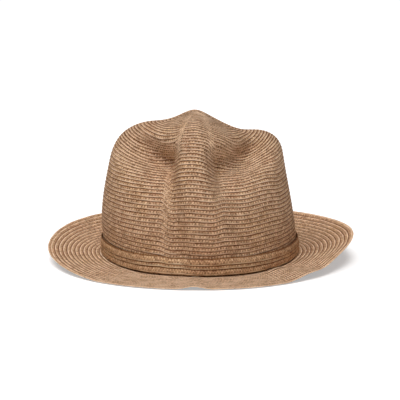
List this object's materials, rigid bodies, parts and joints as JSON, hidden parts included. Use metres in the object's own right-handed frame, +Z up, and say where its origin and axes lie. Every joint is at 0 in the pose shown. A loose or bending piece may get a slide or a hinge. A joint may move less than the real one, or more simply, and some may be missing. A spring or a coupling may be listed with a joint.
{
  "type": "sun hat",
  "caption": "Sun hat of sewn straw braid with a dented crown, a turned-up brim and a braid band.",
  "frame": {"origin": "on the surface that the hat rests on, under the middle of its outline", "axes": "+Z up, -Y towards the front of the hat, +X towards the wearer's left"},
  "size_m": [0.2714, 0.298, 0.1308],
  "materials": {
    "crown_straw": "sewn straw braid, matt with a faint gloss on the strands",
    "brim_straw": "sewn straw braid, matt with a faint gloss on the strands",
    "band_straw": "sewn straw braid, a little darker than the crown"
  },
  "bodies": {
    "root": {"crown": "crown_straw", "brim": "brim_straw", "hat_band": "band_straw"}
  },
  "joints": []
}
